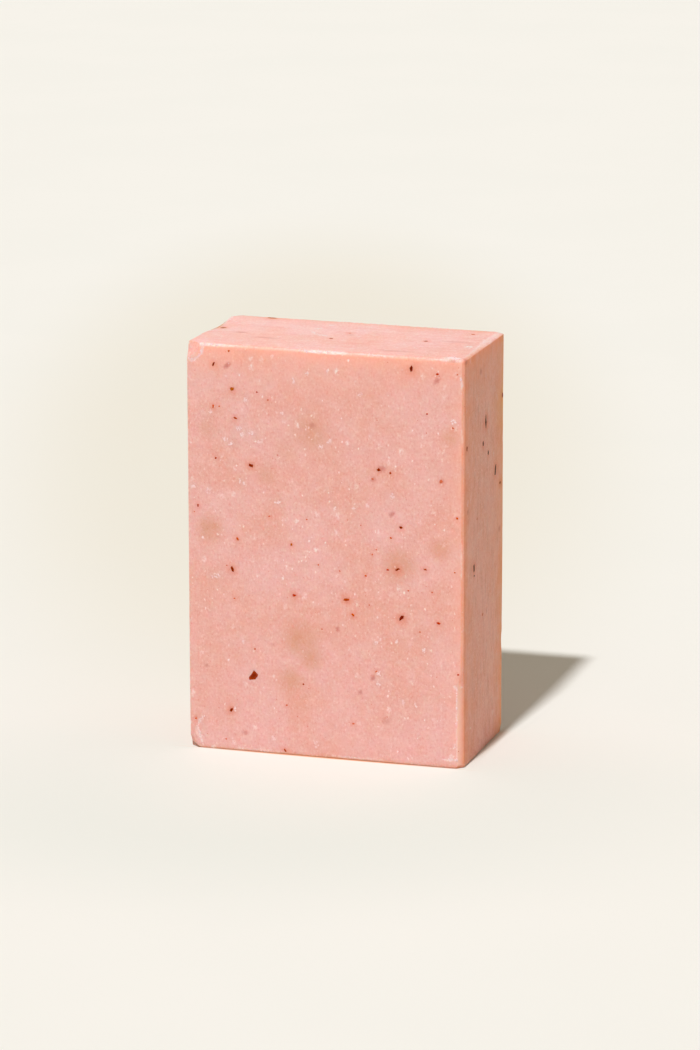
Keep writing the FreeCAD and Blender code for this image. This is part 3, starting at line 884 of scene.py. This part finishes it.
def outline(rng, length, width, turn):
    """The corners of a flake of four to six sides, counterclockwise round its middle."""
    sides = rng.choice((4, 5, 5, 6))
    start = rng.uniform(0, math.tau)
    corners = []
    for side in range(sides):
        t = start + math.tau * (side + rng.uniform(-0.22, 0.22)) / sides
        far = rng.uniform(0.86, 1.14)
        corners.append((math.cos(t) * far * length / 2, math.sin(t) * far * width / 2))
    c, s = math.cos(math.radians(turn)), math.sin(math.radians(turn))
    return [(x * c - y * s, x * s + y * c) for x, y in corners]


# The lists give the dark cores of the flecks. With its rim a fleck is larger, by these factors
SMALL_GROWTH, LARGE_GROWTH = 1.35, 1.15

# Rings of a flake, from its middle: share of its size, height over the surface, share of the rim's colour
FLAKE_RINGS = [(0.45, 0.040, 0.0), (0.78, 0.024, 0.35), (1.0, -0.03, 1.0)]


def flake(rng, surface, face, place, corners, tone, sides, thick):
    """(points, polygons, colours) of one thin flake, pressed into the surface of the bar."""
    _, along, up, out = face_frame(face)
    core, rim = tone
    closed = np.array(corners + corners[:1])
    at = np.linspace(0, len(corners), sides, endpoint=False)
    edge = np.stack([np.interp(at, range(len(closed)), closed[:, axis]) for axis in (0, 1)], axis=1)
    points, colours = [], []

    def put(offset, high, shade):
        centre = place + along * offset[0] + up * offset[1]
        hit, normal, _, _ = surface.ray_cast(Vector(centre + out * 4) * MM, Vector(-out))
        if hit is None:
            hit, normal, _, _ = surface.find_nearest(Vector(centre) * MM)
        points.append(np.array(hit) / MM + np.array(normal) * high)
        colours.append([*(c + (r - c) * shade for c, r in zip(core, rim)), 1.0])

    put((0, 0), 0.045 * thick, rng.uniform(0, 0.2))
    for share, high, shade in FLAKE_RINGS:
        for offset in edge:
            put(offset * share * rng.uniform(0.94, 1.06), high * thick, min(1.0, shade + rng.uniform(0, 0.3)))
    put((0, 0), -0.25, 1.0)
    last = len(points) - 1
    polygons = []
    for side in range(sides):
        after = (side + 1) % sides
        polygons.append((0, 1 + side, 1 + after))
        for ring in range(2):
            a, b = 1 + ring * sides, 1 + (ring + 1) * sides
            polygons.append((a + side, b + side, b + after, a + after))
        polygons.append((last, 1 + 2 * sides + after, 1 + 2 * sides + side))
    return points, polygons, colours


def wanted_flecks(rng):
    """(face, place, corners, tone) of every fleck, with others by chance on the faces without a list."""
    made = [("front", on_face("front", *LARGEST), LARGEST_CORNERS, "dark")]
    for face, flecks in FLECKS.items():
        for u, v, length, width, turn, tone in flecks:
            size = SMALL_GROWTH if length < 0.8 else LARGE_GROWTH
            made.append((face, on_face(face, u, v), outline(rng, length * size, width * size, turn), tone))
    tones = ["dark", "brown", "brown", "ochre", "red", "orange", "orange", "faint", "faint", "faint"]
    for face, count in (("back", 74), ("left", 30), ("foot", 12)):
        wide, high = face_size(face)
        for _ in range(count):
            length = min(1.7, 0.3 + rng.expovariate(2.8))
            corners = outline(rng, length, length * rng.uniform(0.45, 0.95), rng.uniform(0, 180))
            place = on_face(face, rng.uniform(1, wide - 1), rng.uniform(1, high - 1))
            made.append((face, place, corners, rng.choice(tones)))
    return made


def make_flecks(surface):
    rng = random.Random(SEED)
    flecks = Patchwork()
    for face, place, corners, tone in wanted_flecks(rng):
        colours = [linear(c) for c in TONES[tone]]
        flecks.add(*flake(rng, surface, face, place, corners, colours, sides=20, thick=1.0))
    return flecks.made("flecks", fleck_material())


# White soap, and the colour of the soap round it, on each face with chalky spots; on the right side these colours
# carry the painted shade of the sides, and on the top the painted light of the top
CHALK = {
    "front": ((248, 224, 227), (235, 187, 184)),
    "right": ((248, 212, 192), (236, 166, 144)),
    "top": ((250, 238, 240), (246, 198, 194)),
}
GRAINS_PER_SPOT, GRAINS_PER_MM2 = 4, 8
CRUMBS_PER_MM = 3.2
CRUMB_STRENGTH = 0.60


def add_chalk(rng, surface, crumbs):
    """Chalky spots: clusters of small flat grains."""
    for face, spots in CHALKY.items():
        white, round_it = (np.array(linear(c)) for c in CHALK[face])
        for u, v, length, width, turn, strength in spots:
            c, s = math.cos(math.radians(turn)), math.sin(math.radians(turn))
            for _ in range(round(GRAINS_PER_SPOT + GRAINS_PER_MM2 * length * width)):
                far, t = 0.5 * math.sqrt(rng.random()), rng.uniform(0, math.tau)
                x, y = far * length * math.cos(t), far * width * math.sin(t)
                place = on_face(face, u + x * c - y * s, v + x * s + y * c)
                size = rng.uniform(0.2, 0.64)
                corners = outline(rng, size, size * rng.uniform(0.5, 0.9), rng.uniform(0, 180))
                core = round_it + (white - round_it) * min(1.0, strength * rng.uniform(1.0, 2.5))
                crumbs.add(*flake(rng, surface, face, place, corners, (core, round_it), sides=10, thick=0.4))


def ball_mesh():
    """(points, triangles) of a small ball."""
    shape = bmesh.new()
    bmesh.ops.create_icosphere(shape, subdivisions=2, radius=1.0)
    points = np.array([v.co for v in shape.verts])
    triangles = [tuple(v.index for v in face.verts) for face in shape.faces]
    shape.free()
    return points, triangles


def add_edge_crumbs(rng, surface, crumbs):
    """White crumbs that cling to the strongest lines of wear; along the top edge of the front they also stand in part
    for its painted highlight.
    """
    sphere, triangles = ball_mesh()
    white, round_it = (np.array(linear(c)) for c in CHALK["front"])
    for line in SCUFFS_AND_HIGHLIGHTS:
        for start, end in zip(np.array(line), np.array(line[1:])):
            if (start[4] + end[4]) / 2 < CRUMB_STRENGTH:
                continue
            for _ in range(round(CRUMBS_PER_MM * math.dist(start[:3], end[:3]))):
                x, y, z, half, _ = start + (end - start) * rng.random()
                place = LOW + (x, y, z * (1 - TOP_FALL / HEIGHT * x / WIDTH))
                place += np.array([rng.uniform(-1, 1) for _ in range(3)]) * half * 0.9
                hit, normal, _, _ = surface.find_nearest(Vector(place) * MM)
                radius = rng.uniform(0.05, 0.14)
                lumps = radius * (1 + 0.35 * np.array([rng.uniform(-1, 1) for _ in sphere]))
                shape = sphere * lumps[:, None] * [rng.uniform(0.7, 1.4) for _ in range(3)]
                middle = np.array(hit) / MM + np.array(normal) * radius * 0.1
                colour = (*(round_it + (white - round_it) * rng.uniform(0.5, 1.0)), 1.0)
                crumbs.add(middle + shape, triangles, [colour] * len(shape))


def make_crumbs(surface):
    rng = random.Random(SEED + 1)
    crumbs = Patchwork()
    add_chalk(rng, surface, crumbs)
    add_edge_crumbs(rng, surface, crumbs)
    return crumbs.made("crumbs", crumb_material())


# Stage

CAMERA_AT = (256.07, -836.84, 253.38)
CAMERA_TURN = 16.97
CAMERA_TILT = 13.51
CAMERA_ROLL = -0.08
LENS = 158.75
FRAME_SIDE = 36.0
KEY_TRAVELS = (0.032, 0.591, -0.806)
KEY_STRENGTH = 2.72
KEY_ANGLE = 2.8
WORLD_LIGHT = (0.338, 0.298, 0.232)

# The floor as it is seen, with painted shade in soft duller halos behind the bar and before it, and the colour that
# it throws back
FLOOR = (243, 243, 241)
FAR_FLOOR_SHADE = (236, 233, 224)
FAR_SHADE_PLACE = (-92.0, 270.0, 0.0)
FAR_SHADE_HALVES = (92.0, 340.0, 50.0)
NEAR_FLOOR_SHADE = (231, 235, 232)
NEAR_SHADE_PLACE = (0.0, -45.0, 0.0)
NEAR_SHADE_HALVES = (95.0, 75.0, 50.0)
BOUNCED = (216, 213, 208)

# The warm dark strip on the floor along the foot of the right side
FOOT_SHADE = (186, 160, 130)
FOOT_PLACE = (28.2, 5.0, 0.0)
FOOT_HALVES = (1.6, 17.5, 50.0)

# The warm line of light on the floor along the foot of the front
FOOT_GLOW = (250, 176, 122)
GLOW_PLACE = (0.0, -14.2, 0.0)
GLOW_HALVES = (34.0, 0.62, 50.0)


def make_camera():
    turn, tilt, roll = (math.radians(a) for a in (CAMERA_TURN, CAMERA_TILT, CAMERA_ROLL))
    back = Vector((math.sin(turn) * math.cos(tilt), -math.cos(turn) * math.cos(tilt), math.sin(tilt)))
    right = Vector((math.cos(turn), math.sin(turn), 0))
    up = back.cross(right)
    right, up = right * math.cos(roll) + up * math.sin(roll), up * math.cos(roll) - right * math.sin(roll)
    data = bpy.data.cameras.new("camera")
    data.lens = LENS
    data.sensor_fit = "VERTICAL"
    data.sensor_height = FRAME_SIDE
    camera = bpy.data.objects.new("camera", data)
    camera.matrix_world = Matrix.Translation(Vector(CAMERA_AT) * MM) @ Matrix((right, up, back)).transposed().to_4x4()
    bpy.context.scene.collection.objects.link(camera)
    bpy.context.scene.camera = camera


def make_light():
    data = bpy.data.lights.new("key", "SUN")
    data.energy = KEY_STRENGTH
    data.angle = math.radians(KEY_ANGLE)
    lamp = bpy.data.objects.new("key", data)
    lamp.rotation_euler = Vector(KEY_TRAVELS).to_track_quat("-Z", "Y").to_euler()
    bpy.context.scene.collection.objects.link(lamp)


def seen_directly(tree):
    """1 for rays from the camera, for reflections and for what is seen through glass, else 0."""
    path = tree.nodes.new("ShaderNodeLightPath")
    total = path.outputs["Is Camera Ray"]
    for name in ("Is Glossy Ray", "Is Transmission Ray"):
        node = tree.nodes.new("ShaderNodeMath")
        node.operation = "MAXIMUM"
        tree.links.new(total, node.inputs[0])
        tree.links.new(path.outputs[name], node.inputs[1])
        total = node.outputs[0]
    return total


def make_world():
    """Even light from all round, and a pale background that only the camera and reflections see."""
    world = bpy.data.worlds.new("world")
    world.use_nodes = True
    tree = world.node_tree
    light = tree.nodes["Background"]
    light.inputs["Color"].default_value = (*WORLD_LIGHT, 1)
    shown = tree.nodes.new("ShaderNodeBackground")
    shown.inputs["Color"].default_value = rgba(FLOOR)
    seen = tree.nodes.new("ShaderNodeMixShader")
    tree.links.new(seen_directly(tree), seen.inputs[0])
    tree.links.new(light.outputs[0], seen.inputs[1])
    tree.links.new(shown.outputs[0], seen.inputs[2])
    tree.links.new(seen.outputs[0], tree.nodes["World Output"].inputs["Surface"])
    bpy.context.scene.world = world


def make_floor():
    n = Nodes("floor")
    turn = (0, 0, math.radians(CAMERA_TURN))
    # Painted shade: soft duller halos on the floor behind the bar and before it
    far = n.oval(n.place, FAR_SHADE_PLACE, turn, FAR_SHADE_HALVES)
    near = n.oval(n.place, NEAR_SHADE_PLACE, turn, NEAR_SHADE_HALVES)
    colour = n.mix(n.ramp(far, 0.45, 1.05), rgba(FAR_FLOOR_SHADE), rgba(FLOOR))
    colour = n.mix(n.ramp(near, 0.25, 1.1), rgba(NEAR_FLOOR_SHADE), colour)
    # Faint random patches of the same duller colour over the whole floor
    colour = n.mix(n.ramp(n.noise(60.0), 0.3, 0.7, 0.0, 0.1), colour, rgba(NEAR_FLOOR_SHADE))
    foot = n.oval(n.place, FOOT_PLACE, (0, 0, 0), FOOT_HALVES)
    colour = n.mix(n.ramp(foot, 0.2, 1.0, 0.4, 0.0), colour, rgba(FOOT_SHADE))
    glow = n.oval(n.place, GLOW_PLACE, (0, 0, 0), GLOW_HALVES)
    colour = n.mix(n.ramp(glow, 0.3, 1.0, 0.8, 0.0), colour, rgba(FOOT_GLOW))
    colour = n.mix(seen_directly(n.tree), rgba(BOUNCED), colour)
    n.plug(n.shader.inputs["Base Color"], colour)
    n.shader.inputs["Roughness"].default_value = 0.9
    n.shader.inputs["Specular IOR Level"].default_value = 0.2
    half = 20000.0
    corners = np.array([(-half, -half, 0), (half, -half, 0), (half, half, 0), (-half, half, 0)])
    floor = mesh_object("floor", corners, [(0, 1, 2, 3)], n.material)


def main():
    scene = bpy.context.scene
    scene.view_settings.view_transform = "Standard"
    make_camera()
    make_light()
    make_world()
    make_floor()

    points, quads, marks = bar_surface()
    bar = mesh_object("soap", points, quads.tolist(), soap_material())
    for name, values in marks.items():
        add_mark(bar, name, values)
    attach(bar, "root")
    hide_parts("soap_bar")

    surface = BVHTree.FromObject(bar, bpy.context.evaluated_depsgraph_get())
    for piece in (make_flecks(surface), make_crumbs(surface)):
        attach(piece, "root")


main()
